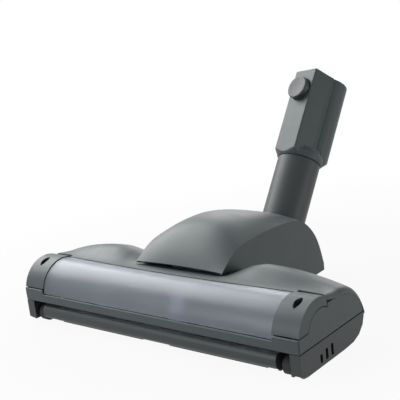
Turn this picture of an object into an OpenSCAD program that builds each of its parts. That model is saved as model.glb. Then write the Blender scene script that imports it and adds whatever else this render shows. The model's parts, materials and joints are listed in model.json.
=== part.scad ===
/* [Head] */

// Width of the head over both side panels.
head_w = 280; // [240:1:320]
// Depth of the head from the front ridge to the rear of the deck.
head_d = 88; // [80:1:100]
// Height of the parting line between the lower and the upper housing.
parting_z = 19.4; // [17:0.1:22]
// Height of the front ridge, which is the top of the lip band.
ridge_z = 26.9; // [25:0.1:29]
// Height of the underside of the lower housing floor.
floor_z = 3; // [2.6:0.1:4]
// Wall thickness of the housing mouldings.
wall = 2.2; // [1.8:0.1:3]
// Gap at the seams between two housing mouldings.
seam = 0.3; // [0.2:0.05:0.6]

/* [Window] */

// Half of the width of the clear window.
window_half = 117.3; // [100:0.1:125]
// Outside radius of the round window.
window_r = 25.4; // [24:0.1:27]
// Thickness of the clear window.
window_t = 2.2; // [1.6:0.1:2.6]
// Travel of the window cover when it is lifted off.
lift = 40; // [10:1:60]

/* [Brush] */

// Distance of the brush axis behind the front ridge.
brush_y = 29; // [27:0.1:32]
// Height of the brush axis.
brush_z = 21.5; // [21.5:0.1:23]
// Radius of the brush at the tips of the bristles.
tip_r = 20.7; // [18:0.1:20.7]
// Radius of the brush core.
core_r = 11; // [9:0.1:12]
// Radius of the end journals of the brush.
journal_r = 4; // [3:0.1:5]
// Number of tufts in each half row.
tufts = 14; // [8:1:20]

/* [Turbine] */

// Distance of the turbine axis behind the front ridge.
turbine_y = 100; // [98:0.5:102]
// Height of the turbine axis.
turbine_z = 38; // [37:0.5:39]
// Radius of the turbine wheel.
turbine_r = 23; // [18:0.5:23.5]
// Number of blades of the turbine wheel.
blades = 11; // [7:1:15]
// Radius of the turbine shaft.
shaft_r = 2; // [1.6:0.1:2.4]
// Radius of the small belt wheel on the turbine shaft.
pinion_r = 5.2; // [4.6:0.1:6]
// Radius of the belt wheel on the brush.
pulley_r = 13; // [12:0.1:13.5]
// Place of the belt across the head.
belt_x = 21; // [20:0.5:22]

/* [Neck] */

// Angle of the neck above the horizontal at rest.
neck_angle = 53.5; // [50:0.5:56]
// Distance of the tilt axis behind the front ridge.
tilt_y = 176; // [175:0.5:177]
// Height of the tilt axis.
tilt_z = 24; // [24:0.1:25]
// Outside radius of the neck tube.
neck_r = 19.9; // [18:0.1:20]
// Inside radius of the neck tube.
neck_bore_r = 16.6; // [15:0.1:17]
// Radius of the elbow drum.
drum_r = 20.9; // [20:0.1:20.9]
// Radius of the tilt pins at both ends of the drum.
tilt_pin_r = 7; // [5:0.1:8]

/* [Connector] */

// Distance from the tilt axis to the lower rim of the connector.
collar_s = 86.4; // [80:0.1:90]
// Distance from the tilt axis to the top of the connector.
connector_top = 171.5; // [166:0.5:174]
// Turn of the connector about the neck at rest.
connector_turn = -13; // [-20:1:0]
// Radius of the swivel spigot on the neck.
spigot_r = 18.6; // [18:0.1:18.8]
// Radius of the release button.
button_r = 11.3; // [9:0.1:11.5]
// Travel of the release button.
button_travel = 3; // [2:0.1:4]
// Distance of the button below the top of the connector.
button_drop = 20.5; // [18:0.5:24]
// Depth of the wand socket.
socket_depth = 52; // [44:1:56]
// Wall of the wand socket.
socket_wall = 2.4; // [2.2:0.1:2.8]
// Radius of the air bore below the wand socket.
connector_bore_r = 12; // [10:0.5:12.5]

/* [Fits] */

// Radial clearance of the running fits.
run_fit = 0.06; // [0.03:0.01:0.1]
// Clearance between parts that pass each other freely.
free_gap = 0.5; // [0.3:0.05:0.8]

/* [Wheels] */

// Radius of the small front wheels.
front_wheel_r = 7; // [6:0.1:7.5]
// Radius of the rear wheels.
rear_wheel_r = 12; // [10:0.1:12.5]
// Radius of the front wheel axles.
front_axle_r = 1.6; // [1.2:0.1:2]
// Radius of the rear wheel axles.
rear_axle_r = 2; // [1.6:0.1:2.4]
// Distance of the rear wheel axis behind the front ridge.
rear_wheel_y = 171; // [168:0.5:174]

/* [Hidden] */

half_w = head_w / 2;
end_x = half_w - 0.2;
up_s = sin(neck_angle);
up_c = cos(neck_angle);
window_y = 27;
window_z = 25.3;
y_shift = -149.4;
plastic = [0.30, 0.34, 0.35];
plastic_dark = [0.16, 0.18, 0.19];
clear_blue = [0.62, 0.66, 0.74];
steel = [0.72, 0.73, 0.75];
rubber = [0.10, 0.10, 0.11];
light_grey = [0.78, 0.79, 0.80];
bristle_black = [0.08, 0.08, 0.09];
floor_t = 2;
sole_t = 1.4;
front_wheel_x = half_w - 14;
chamber_x = window_half + 2.5;
rear_wheel_x = 30.5;
cheek_in = drum_r + 0.8;
cheek_t = 2.5;
pocket_floor = 15.6;
bar_r = 4.8;
bar_z = 9.4;
bar_rise = 2.6;
front_half = 13.2;
rib_x = 15.9;
rib_y = 11;
rib_r = 17.5;
arch_y = 30;
arch_r = 17.6;
side_low = 1.2;
slot_r = 1.6;
slot_heights = [3.4, 5.2, 6];
hump_half = 44.7;
screw_places = [[-110, 58], [-60, 58], [60, 58], [110, 58], [-30, 137], [30, 137]];

// The part to show: all of them or one by its name.

// Height of the deck crest at a place across the head.
function crest(x) = lookup(abs(x), [[0, 46.5], [38, 46.5], [46, 48], [55, 51.5], [65, 55], [75, 56.6],
  [90, 56], [105, 54.2], [120, 51.4], [130, 48.8], [140, 45.8]]);

// Front edge of the deck, which bows forward in the middle of the head.
function deck_soft(x) = 36 - 6.6 * (1 - pow(min(1, abs(x) / 117.5), 2));
function deck_front(x) = abs(x) < window_half - 0.4 ? deck_soft(x) : 39.7;

// Height of the deck at its front edge, on the round of the window.
function deck_front_z(x) = window_z + sqrt(pow(window_r + 0.4, 2) - pow(deck_soft(x) - window_y, 2));

// Smooth step from 0 to 1.
function ease(t) = t * t * (3 - 2 * t);

// One point of the deck profile, moved inward by d.
function deck_y(x, i) = deck_front(x) + (58 - deck_front(x)) * i / 5;
function deck_point(x, i, d) = i <= 5
  ? [deck_y(x, i),
     deck_front_z(x) + (crest(x) - deck_front_z(x)) * ease((deck_y(x, i) - deck_soft(x)) / (58 - deck_soft(x))) - d]
  : [58 + (head_d - d - 58) * sin((i - 5) * 11.25),
     parting_z + seam + (crest(x) - d - parting_z - seam) * cos((i - 5) * 11.25)];

// Places across the head at which the deck profile is drawn.
half_xs = [19, 38, 46, 55, 65, 75, 90, window_half - 12.3, window_half - 0.6, window_half - 0.3, window_half + 2.7,
  end_x - 9.8, end_x];
deck_xs = concat(-reversed(half_xs), [0], half_xs);

// Closed ring of a shell profile: the outer points, then the inner points back.
function deck_ring(x) = concat(
  [for (i = [0:13]) [x, deck_point(x, i, 0)[0], deck_point(x, i, 0)[1]]],
  [for (i = [13:-1:0]) [x, deck_point(x, i, wall)[0], deck_point(x, i, wall)[1]]]);

// Faces of a loft over n rings of m points, with caps made of quads across the shell.
function loft_faces(n, m) = concat(
  [for (j = [0:n - 2], i = [0:m - 1]) [j * m + i, j * m + (i + 1) % m, (j + 1) * m + (i + 1) % m]],
  [for (j = [0:n - 2], i = [0:m - 1]) [j * m + i, (j + 1) * m + (i + 1) % m, (j + 1) * m + i]],
  [for (i = [0:m / 2 - 2]) [i, m - 1 - i, m - 2 - i]],
  [for (i = [0:m / 2 - 2]) [i, m - 2 - i, i + 1]],
  [for (i = [0:m / 2 - 2]) [(n - 1) * m + i, (n - 1) * m + m - 2 - i, (n - 1) * m + m - 1 - i]],
  [for (i = [0:m / 2 - 2]) [(n - 1) * m + i, (n - 1) * m + i + 1, (n - 1) * m + m - 2 - i]]);

// The same faces seen from the other side, for a loft that runs to the rear.
function flipped(f) = [for (t = f) [t[2], t[1], t[0]]];

// Half width of the hump along the head.
function hump_w(y) = hump_half - 0.04 * (y - 47);

// Height of the sharp side edge of the hump.
function hump_edge(y) = lookup(y, [[44, 51.2], [47, 53], [52, 56.6], [60, 61], [67, 63.6], [75, 65.2],
  [92, 65.6],
  [117, 65.3], [132, 64.4], [144, 63], [156, 60.6], [164, 57.4], [170, 53.6], [176, 48.4], [183, 40.4],
  [189, 30.6], [192.5, 20], [194.6, 10]]);

// Height of the hump above its middle line.
function hump_top(y) = lookup(y, [[44, 52.4], [47, 56.2], [52, 61.4], [60, 68], [67, 72.6], [75, 76.4],
  [84, 78.8],
  [92, 79.6], [104, 79.6], [117, 77.6], [132, 73.8], [144, 70], [156, 65.8], [164, 61.8], [170, 57.4],
  [176, 51.6], [183, 43], [189, 32.6], [192.5, 21.5], [194.6, 11]]);

// Height of the lower edge of the hump moulding.
function hump_low(y) = y < 53.4 ? 50.2 : y < 88.5 ? parting_z + seam : floor_z + seam;

hump_ys = [44, 47, 52, 53.35, 53.5, 60, 67, 75, 84, 88.4, 88.8, 92, 104, 117, 132, 144, 156, 164, 170, 176, 183, 189,
  192.5, 194.6];

// Outline points of the hump across at one place, moved inward by d.
function hump_z(y, u, d) = max(hump_top(y) - (hump_top(y) - hump_edge(y)) * u * u - d, hump_low(y) + 0.4);
function hump_arch(y, d) = concat(
  [[-(hump_w(y) - d), y, hump_low(y)]],
  [for (i = [0:12]) let (u = i / 6 - 1) [u * (hump_w(y) - d), y, hump_z(y, u, d)]],
  [[hump_w(y) - d, y, hump_low(y)]]);
function reversed(v) = [for (i = [len(v) - 1:-1:0]) v[i]];
function hump_ring(y) = concat(hump_arch(y, 0), reversed(hump_arch(y, wall)));

// Moves the whole head so that the part stands on the middle of its base.
module place() {
  translate([0, y_shift, 0]) children();
}

// Draws a side profile of y and z points as a plate from x0 to x1.
module across(x0, x1) {
  translate([x0, 0, 0]) rotate([90, 0, 90]) linear_extrude(height = x1 - x0) children();
}

// A round bar along the width of the head.
module bar(x0, x1, y, z, r) {
  translate([x0, y, z]) rotate([0, 90, 0]) cylinder(h = x1 - x0, r = r, $fn = 48);
}

// The frame of the neck: z runs up the neck, -y is its front.
module on_neck() {
  translate([0, tilt_y, tilt_z]) rotate([neck_angle - 90, 0, 0]) children();
}

// The frame of the connector, turned about the neck.
module on_connector() {
  on_neck() rotate([0, 0, connector_turn]) children();
}

// The same thing on both sides of the head.
module both_sides() {
  children();
  mirror([1, 0, 0]) children();
}

// Points of the round arch of the side frame, on which the end cap sits.
function arch_points(r, a0, a1) = [
  for (i = [0:12]) let (a = a0 + (a1 - a0) * i / 12) [arch_y + r * cos(a), window_z + r * sin(a)]];

// Part of a round shell in a side view, between two angles.
module arc_shell(r_out, r_in, a0, a1) {
  n = 16;
  polygon(concat(
    [for (i = [0:n]) let (a = a0 + (a1 - a0) * i / n) [window_y + r_out * cos(a), window_z + r_out * sin(a)]],
    [for (i = [n:-1:0]) let (a = a0 + (a1 - a0) * i / n)
      [window_y + r_in * cos(a), window_z + r_in * sin(a)]]));
}

// Upper housing: deck, side frames, lip band and screw posts.
module upper_housing() {
  color(plastic) place() difference() {
    union() {
      polyhedron(points = [for (x = deck_xs) each deck_ring(x)], faces = loft_faces(len(deck_xs), 28));
      both_sides() across(half_w - 0.2 - wall, half_w - 0.3) polygon([
        [0.3, parting_z + seam], [0.3, 30.6], each arch_points(arch_r, 162.5, 58), [39.9, 41], [39.9, 47.2],
        [48, 46.3], [57, 45.2], [66, 43.8], [74, 40.4], [80, 35.9], [84.5, 29.6], [86.6, 24],
        [87.2, parting_z + seam]]);
      translate([-half_w + 0.3, 0.2, parting_z + seam]) cube([head_w - 0.6, wall, ridge_z - parting_z - seam]);
      both_sides() translate([window_half + 0.4, 0.2, ridge_z - 1])
        cube([half_w - 0.3 - window_half - 0.4, wall, 4.6]);
      for (p = screw_places) if (p[1] < 100)
        translate([p[0], p[1], floor_z + floor_t])
          cylinder(h = crest(p[0]) - 1.2 - floor_z - floor_t, r = 3.4, $fn = 32);
    }
    translate([-hump_half - seam, 53.2, 0]) cube([2 * (hump_half + seam), 60, 70]);
    for (p = screw_places) if (p[1] < 100)
      translate([p[0], p[1], floor_z]) cylinder(h = 16, r = 1.3, $fn = 24);
  }
}

// Hump cover: the rounded moulding over the turbine, with the slot for the neck.
module hump_cover() {
  color(plastic) place() difference() {
    union() {
      polyhedron(points = [for (y = hump_ys) each hump_ring(y)], faces = flipped(loft_faces(len(hump_ys), 30)));
      translate([-43.4, 53.6, parting_z + seam]) cube([86.8, 2, 34]);
      both_sides() across(cheek_in - 0.6, cheek_in + cheek_t) polygon([
        [150, floor_z + seam], [150, 63.2], [156, 60], [164, 56.8], [170, 53], [176, 47.8], [183, 39.8],
        [189, 30], [192.3, 19.4], [193.8, 10], [193.8, floor_z + seam]]);
      both_sides() translate([cheek_in + 1.2, 192, floor_z + seam]) cube([15, 2.2, 6.4]);
      both_sides() translate([cheek_in + 0.5, tilt_y, tilt_z]) rotate([0, 90, 0])
        cylinder(h = 3.9, r = 10.5, $fn = 48);
      for (p = screw_places) if (p[1] > 100)
        translate([p[0], p[1], floor_z + floor_t]) cylinder(h = 61.5, r = 3.4, $fn = 32);
    }
    translate([0, 0, 44]) linear_extrude(height = 46) polygon(concat([[cheek_in, 210], [-cheek_in, 210]],
      [for (i = [0:16]) [-cheek_in * cos(11.25 * i), 168.4 + cheek_in - cheek_in * sin(11.25 * i)]]));
    translate([-cheek_in - 0.1, 164, floor_z - 1]) cube([2 * cheek_in + 0.2, 40, 46.4]);
    translate([belt_x - 7.2, 52, 0]) cube([14.4, 5, 46]);
    translate([-32, 52, 17.8]) cube([36.6, 5, 17]);
    bar(-30, 30, tilt_y, tilt_z, tilt_pin_r + run_fit);
    bar(-26.5, 26.5, rear_wheel_y, rear_wheel_r, rear_axle_r);
    for (p = screw_places) if (p[1] > 100)
      translate([p[0], p[1], floor_z]) cylinder(h = 16, r = 1.3, $fn = 24);
  }
}

// Lower housing: floor, rounded front bar, side panels, wheel brackets and the walls of the brush chamber.
module lower_housing() {
  color(plastic_dark) place() difference() {
    union() {
      translate([-half_w + 2, 7, floor_z]) cube([head_w - 4, 61.4, floor_t]);
      across(-half_w + 0.2, half_w - 0.2) polygon([[60, floor_z], [72, 3.2], [79, 5.8], [84, 10.6],
        [head_d - 0.4, parting_z],
        [head_d - 2.6, parting_z], [82.2, 12], [77.8, 7.6], [71.4, floor_z + floor_t], [60, floor_z + floor_t]]);
      both_sides() across(half_w - 0.2 - wall, half_w - 0.2) polygon([[0.6, parting_z], [0.6, 4.6],
        [3, 2], [8, side_low],
        [58, side_low], [70, 2], [78, 4.8], [84, 10.2], [head_d - 0.4, parting_z]]);
      both_sides() translate([half_w - 8.6, 0.6, 4]) cube([8.2, wall, parting_z - 4]);
      both_sides() translate([half_w - 8.6, 0.6, floor_z]) cube([wall, 30, parting_z - floor_z]);
      for (z = [bar_z, bar_z + bar_rise]) bar(-chamber_x, chamber_x, bar_r + 0.1, z, bar_r);
      translate([-chamber_x, 0.1, bar_z]) cube([2 * chamber_x, 2 * bar_r, bar_rise]);
      both_sides() translate([chamber_x - wall, 5, floor_z]) cube([wall, 46, 31]);
      translate([0.2 - chamber_x, 51, floor_z]) cube([2 * chamber_x - 0.4, 2, 36]);
      translate([-38, 66, floor_z]) cube([76, 84, floor_t]);
      both_sides() translate([34.8, 150, floor_z]) cube([1.8, 36, 18]);
      both_sides() translate([34.8, 149, floor_z]) cube([3.2, 2, floor_t]);
      both_sides() translate([window_half + 0.3, 7, 14]) cube([2.2, 10, 20]);
    }
    translate([-window_half + 3, 10.9, floor_z - 1]) cube([2 * window_half - 6, 39.5, floor_t + 2]);
    both_sides() translate([front_wheel_x - 5.8, -2, floor_z - 1]) cube([11.2, 20.6, parting_z]);
    translate([-38.4, 84.5, floor_z + floor_t]) cube([76.8, 8, 20]);
    for (i = [0:2]) both_sides() translate([half_w - 4, 26.4 + 7.2 * i, 0]) {
      translate([0, -slot_r, 5.4]) cube([6, 2 * slot_r, slot_heights[i]]);
      for (z = [5.4, 5.4 + slot_heights[i]]) translate([0, 0, z]) rotate([0, 90, 0])
        cylinder(h = 6, r = slot_r, $fn = 24);
    }
    bar(-chamber_x - 1.2, chamber_x + 1.2, brush_y, brush_z, 8);
    translate([-31, 50, 19]) cube([35, 5, 14.6]);
    translate([belt_x - 7.2, 10, 2]) cube([14.4, 45, 38]);
    both_sides() bar(chamber_x - 5.8, half_w - 6, 10, front_wheel_r, front_axle_r);
    both_sides() bar(34, 38, rear_wheel_y, rear_wheel_r, rear_axle_r);
    for (p = screw_places) translate([p[0], p[1], 0]) {
      cylinder(h = 10, r = 1.4, $fn = 24);
      cylinder(h = floor_z + 0.9, r = 2.8, $fn = 24);
    }
  }
}

// Sole plate: the sliding plate around the suction mouth.
module sole_plate() {
  color(plastic_dark) place() difference() {
    translate([1.8 - chamber_x, 8.5, floor_z - sole_t]) cube([2 * chamber_x - 3.6, 45.5, sole_t]);
    translate([7.3 - chamber_x, 12, 0]) cube([2 * chamber_x - 14.6, 35.5, 6]);
    both_sides() translate([chamber_x - 1.3, 8, 0]) rotate([0, 0, 45]) cube([9, 9, 12], center = true);
  }
}

// Turbine housing: a round chamber with an inlet from the brush chamber and an outlet to the rear.
module turbine_housing() {
  color(light_grey) place() difference() {
    union() {
      bar(-34, 8, turbine_y, turbine_z, 26.4);
      bar(-37, -34, turbine_y, turbine_z, 7);
      bar(8, 11, turbine_y, turbine_z, 7);
      translate([-31.6, 55.4, 18.4]) cube([35.8, 28, 15.8]);
      translate([-23, 118, 14.4]) cube([30, 9.2, 29.2]);
      translate([-30, 88, floor_z + floor_t]) cube([4, 24, 12]);
      translate([2, 88, floor_z + floor_t]) cube([4, 24, 12]);
    }
    bar(-32, 6, turbine_y, turbine_z, turbine_r + 1.5);
    bar(-37.5, 11.5, turbine_y, turbine_z, 3.4);
    bar(-37.5, -33.4, turbine_y, turbine_z, 5);
    bar(7.4, 11.5, turbine_y, turbine_z, 5);
    translate([-29.8, 50, 20]) cube([32.2, 40, 12.4]);
    translate([-21.2, 110, 16.2]) cube([26.4, 20, 25.6]);
  }
}

// Two ball bearings of the turbine shaft, drawn as plain rings.
module turbine_bearings() {
  color(steel) place() for (x = [-36.6, 7.5]) difference() {
    bar(x, x + 3, turbine_y, turbine_z, 5);
    bar(x - 1, x + 4, turbine_y, turbine_z, shaft_r + run_fit);
  }
}

// Air duct from the turbine housing to the elbow drum.
module air_duct() {
  color(light_grey) place() difference() {
    translate([-20.9, 127.4, floor_z + floor_t]) cube([41.8, 36, 40]);
    translate([-19.2, 129.2, floor_z + floor_t + 1.8]) cube([38.4, 40, 36.4]);
    translate([-19.2, 120, 16.2]) cube([24.4, 20, 25.6]);
    bar(-24, 24, tilt_y, tilt_z, drum_r + 0.6);
    translate([-24, 155, 0]) cube([48, 20, 12]);
  }
}

// Belt cover: the light shell around the belt, seen through the window.
module belt_cover() {
  color(light_grey) place() difference() {
    across(belt_x - 6.6, belt_x + 6.6) hull() {
      translate([brush_y, brush_z]) circle(r = 18.4, $fn = 64);
      translate([turbine_y, turbine_z]) circle(r = 10.6, $fn = 48);
    }
    across(belt_x - 5.2, belt_x + 5.2) hull() {
      translate([brush_y, brush_z]) circle(r = 17, $fn = 64);
      translate([turbine_y, turbine_z]) circle(r = 9.2, $fn = 48);
    }
    bar(belt_x - 8, belt_x + 8, brush_y, brush_z, core_r + 0.8);
    bar(belt_x - 8, belt_x, turbine_y, turbine_z, 3.2);
    translate([belt_x - 8, turbine_y - 12, turbine_z - 12.5]) cube([16, 24, 2.2]);
  }
}

// Toothed belt, drawn as a smooth loop that runs clear of both wheels.
module drive_belt() {
  color(rubber) place() difference() {
    across(belt_x - 3.6, belt_x + 3.6) hull() {
      translate([brush_y, brush_z]) circle(r = pulley_r + 1.6, $fn = 72);
      translate([turbine_y, turbine_z]) circle(r = pinion_r + 1.6, $fn = 48);
    }
    across(belt_x - 6, belt_x + 6) hull() {
      translate([brush_y, brush_z]) circle(r = pulley_r + 0.3, $fn = 72);
      translate([turbine_y, turbine_z]) circle(r = pinion_r + 0.3, $fn = 48);
    }
  }
}

// Two plain bushes that carry the brush.
module brush_bushes() {
  color(light_grey) place() both_sides() difference() {
    bar(chamber_x - 4.9, chamber_x, brush_y, brush_z, 8);
    bar(chamber_x - 5.8, chamber_x + 1.2, brush_y, brush_z, journal_r + run_fit);
  }
}

// Two axles of the front wheels.
module front_axles() {
  color(steel) place() both_sides() bar(chamber_x - 1.6, half_w - 6.6, 10, front_wheel_r, front_axle_r);
}

// Two axles of the rear wheels.
module rear_axles() {
  color(steel) place() both_sides() bar(cheek_in + 0.5, 36.6, rear_wheel_y, rear_wheel_r, rear_axle_r);
}

// Six equal screws that hold the housings together from below.
module screws() {
  color(steel) place() for (p = screw_places) translate([p[0], p[1], floor_z]) difference() {
    union() {
      translate([0, 0, -0.8]) cylinder(h = 1.7, r = 2.6, $fn = 32);
      cylinder(h = 14, r = 1.27, $fn = 24);
    }
    translate([0, 0, -1]) cube([3.4, 0.7, 1.4], center = true);
    translate([0, 0, -1]) cube([0.7, 3.4, 1.4], center = true);
  }
}

// Two soft lint strips beside the suction mouth.
module lint_strips() {
  color(bristle_black) place() both_sides() for (y = [8.7, 48.6])
    translate([14, y, floor_z - sole_t - 0.7]) cube([chamber_x - 27.8, 3.2, 0.7]);
}

// Clear round window over the brush.
module window() {
  color(clear_blue) place() intersection() {
    across(-window_half, window_half) arc_shell(window_r, window_r - window_t, 64, 175.5);
    union() {
      for (i = [-6:5]) let (x0 = window_half * i / 6, x1 = window_half * (i + 1) / 6)
        translate([0, 0, 26]) linear_extrude(height = 40)
          polygon([[x0, -2], [x1, -2], [x1, deck_soft(x1) - 0.4], [x0, deck_soft(x0) - 0.4]]);
    }
  }
}

// End cap of the window cover with its eye-shaped slot.
module end_cap() {
  difference() {
    union() {
      across(window_half + 0.02, end_x - 0.1) difference() {
        arc_shell(26.2, 24, 62.6, 168);
        translate([-5, 20]) square([20, 11.3]);
      }
      across(end_x - 2.2, end_x - 0.1) polygon(concat(
        [for (i = [0:12]) let (a = 62.6 + 8.2 * i) [window_y + 26.1 * cos(a), window_z + 26.1 * sin(a)]],
        [[1.4, 31.3]], arch_points(arch_r + 0.5, 160.6, 60.5)));
      across(end_x - 5.2, end_x - 2.2 - seam) polygon([[14, 48], [14, 26], [34, 26], [34, 46.6]]);
    }
    translate([end_x - 10, 18.7, 40]) intersection() {
      translate([-4.6, 0, 0]) cylinder(h = 20, r = 7.4, $fn = 64);
      translate([4.6, 0, 0]) cylinder(h = 20, r = 7.4, $fn = 64);
    }
  }
}

module end_cap_left() {
  color(plastic) place() mirror([1, 0, 0]) end_cap();
}

module end_cap_right() {
  color(plastic) place() end_cap();
}

// Angle of a tuft along the brush: two V-shaped rows run from the middle to both ends.
function tuft_angle(x, row) = row * 180 + abs(x) * 1.05;
function tuft_x(i) = 30.5 + (chamber_x - 40.3) * i / (tufts - 1);
tuft_list = [for (row = [0, 1], side = [-1, 1], i = [0:tufts - 1]) [side * tuft_x(i), tuft_angle(tuft_x(i), row)]];
mid_list = [for (row = [0, 1], x = [-22, -13, -4, 5]) [x, tuft_angle(x, row)]];

// Core of the brush with one pocket for each tuft and the end journals.
module brush_core() {
  color(plastic_dark) place() translate([0, brush_y, brush_z]) difference() {
    union() {
      translate([6 - chamber_x, 0, 0]) rotate([0, 90, 0])
        cylinder(h = 2 * chamber_x - 12, r = core_r, $fn = 64);
      translate([0.6 - chamber_x, 0, 0]) rotate([0, 90, 0])
        cylinder(h = 2 * chamber_x - 1.2, r = journal_r, $fn = 48);
    }
    for (t = concat(tuft_list, mid_list)) translate([t[0], 0, 0]) rotate([t[1], 0, 0])
      translate([-1.75, -1.25, core_r - 3]) cube([3.5, 2.5, 6]);
    translate([belt_x - 4.6, 0, 0]) rotate([0, 90, 0]) difference() {
      cylinder(h = 9.2, r = core_r + 2, $fn = 64);
      translate([0, 0, -1]) cylinder(h = 12, r = core_r - 1.4, $fn = 64);
    }
  }
}

// Bristle tufts of the brush, one closed block for each tuft.
module bristle_tufts() {
  color(bristle_black) place() translate([0, brush_y, brush_z])
    for (t = concat(tuft_list, mid_list)) translate([t[0], 0, 0]) rotate([t[1], 0, 0])
      translate([-1.7, -1.2, core_r - 3]) cube([3.4, 2.4, tip_r - 0.2 - core_r + 3]);
}

// Belt wheel of the brush.
module brush_pulley() {
  color(light_grey) place() translate([belt_x - 4.5, brush_y, brush_z]) rotate([0, 90, 0]) difference() {
    union() {
      cylinder(h = 9, r = pulley_r, $fn = 72);
      cylinder(h = 0.7, r = pulley_r + 1.2, $fn = 72);
      translate([0, 0, 8.3]) cylinder(h = 0.7, r = pulley_r + 1.2, $fn = 72);
    }
    translate([0, 0, -1]) cylinder(h = 12, r = core_r - 1.4, $fn = 64);
  }
}

// Point i of the curve of a turbine blade, moved sideways by d.
function blade_point(i, d) = let (r = 6 + (turbine_r - 6.4) * i / 6, a = 26 * pow(i / 6, 1.5))
  [r * cos(a) - d * sin(a), r * sin(a) + d * cos(a)];

// Turbine wheel: a hub, two discs and curved blades.
module turbine_rotor() {
  color(light_grey) place() translate([-30.6, turbine_y, turbine_z]) rotate([90, 0, 90]) difference() {
    union() {
      cylinder(h = 35, r = 7, $fn = 48);
      for (z = [0, 33.8]) translate([0, 0, z]) cylinder(h = 1.2, r = turbine_r, $fn = 72);
      for (k = [0:blades - 1]) rotate([0, 0, 360 * k / blades]) translate([0, 0, 1]) linear_extrude(height = 33)
        polygon(concat([for (i = [0:6]) blade_point(i, 0)], [for (i = [6:-1:0]) blade_point(i, 1.3)]));
    }
    translate([0, 0, -1]) cylinder(h = 40, r = shaft_r, $fn = 32);
  }
}

// Shaft of the turbine.
module turbine_shaft() {
  color(steel) place() bar(-38.6, 25.6, turbine_y, turbine_z, shaft_r);
}

// Small toothed belt wheel on the turbine shaft.
module pinion() {
  color(steel) place() translate([belt_x - 4.4, turbine_y, turbine_z]) rotate([0, 90, 0]) difference() {
    union() {
      cylinder(h = 8.8, r = pinion_r, $fn = 48);
      cylinder(h = 0.6, r = pinion_r + 1.1, $fn = 48);
      translate([0, 0, 8.2]) cylinder(h = 0.6, r = pinion_r + 1.1, $fn = 48);
    }
    translate([0, 0, -1]) cylinder(h = 12, r = shaft_r, $fn = 32);
  }
}

// A wheel with a rounded tread and a bore for its axle.
module wheel(x, y, r, w, bore) {
  translate([x - w / 2, y, r]) rotate([0, 90, 0]) rotate_extrude($fn = 64)
    polygon([[bore, 0], [r - 0.8, 0], [r, 0.8], [r, w - 0.8], [r - 0.8, w], [bore, w]]);
}

module front_wheel_left() {
  color(rubber) place() wheel(-front_wheel_x, 10, front_wheel_r, 8, front_axle_r + run_fit);
}

module front_wheel_right() {
  color(rubber) place() wheel(front_wheel_x, 10, front_wheel_r, 8, front_axle_r + run_fit);
}

module rear_wheel_left() {
  color(rubber) place() wheel(-rear_wheel_x, rear_wheel_y, rear_wheel_r, 7, rear_axle_r + run_fit);
}

module rear_wheel_right() {
  color(rubber) place() wheel(rear_wheel_x, rear_wheel_y, rear_wheel_r, 7, rear_axle_r + run_fit);
}

// Elbow: the hollow tilting drum with its pins and the neck tube.
module elbow() {
  color(plastic_dark) place() difference() {
    union() {
      bar(-drum_r, drum_r, tilt_y, tilt_z, drum_r);
      bar(-drum_r - 4.8, drum_r + 4.8, tilt_y, tilt_z, tilt_pin_r);
      on_neck() cylinder(h = collar_s - 0.4, r = neck_r, $fn = 96);
      on_neck() cylinder(h = collar_s + 10.4, r = spigot_r, $fn = 96);
    }
    bar(-drum_r + 2.4, drum_r - 2.4, tilt_y, tilt_z, drum_r - 2.6);
    on_neck() cylinder(h = collar_s + 12, r = neck_bore_r, $fn = 96);
    translate([-drum_r + 4, tilt_y - drum_r - 4, tilt_z - 12]) cube([2 * drum_r - 8, drum_r, 26]);
    on_neck() translate([0, 0, collar_s + 5.2]) difference() {
      cylinder(h = 2, r = spigot_r + 2, $fn = 96);
      translate([0, 0, -1]) cylinder(h = 4, r = spigot_r - 1, $fn = 96);
    }
  }
}

// Felt ring between the neck and the connector.
module neck_seal() {
  color(rubber) place() on_neck() translate([0, 0, collar_s + 1.2]) difference() {
    cylinder(h = 1.6, r = spigot_r + 0.9, $fn = 96);
    translate([0, 0, -1]) cylinder(h = 4, r = spigot_r + 0.3, $fn = 96);
  }
}

// Outline of the connector: flat front, leaning sides and a round rib at the rear.
module connector_outline(d) {
  polygon([[-front_half + 0.7 * d, -22 + d], [front_half - 0.7 * d, -22 + d], [rib_x - d, rib_y - 8],
    [rib_x - d, rib_y],
    [-rib_x + d, rib_y], [-rib_x + d, rib_y - 8]]);
  translate([0, rib_y]) circle(r = rib_r - d, $fn = 72);
}

// Outline of the wand socket: the connector outline less its wall, with a flat front before the button pocket.
module socket_outline(d) {
  intersection() {
    connector_outline(d);
    translate([-30, -pocket_floor + 2.7 + d - socket_wall]) square([60, 60]);
  }
}

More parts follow.
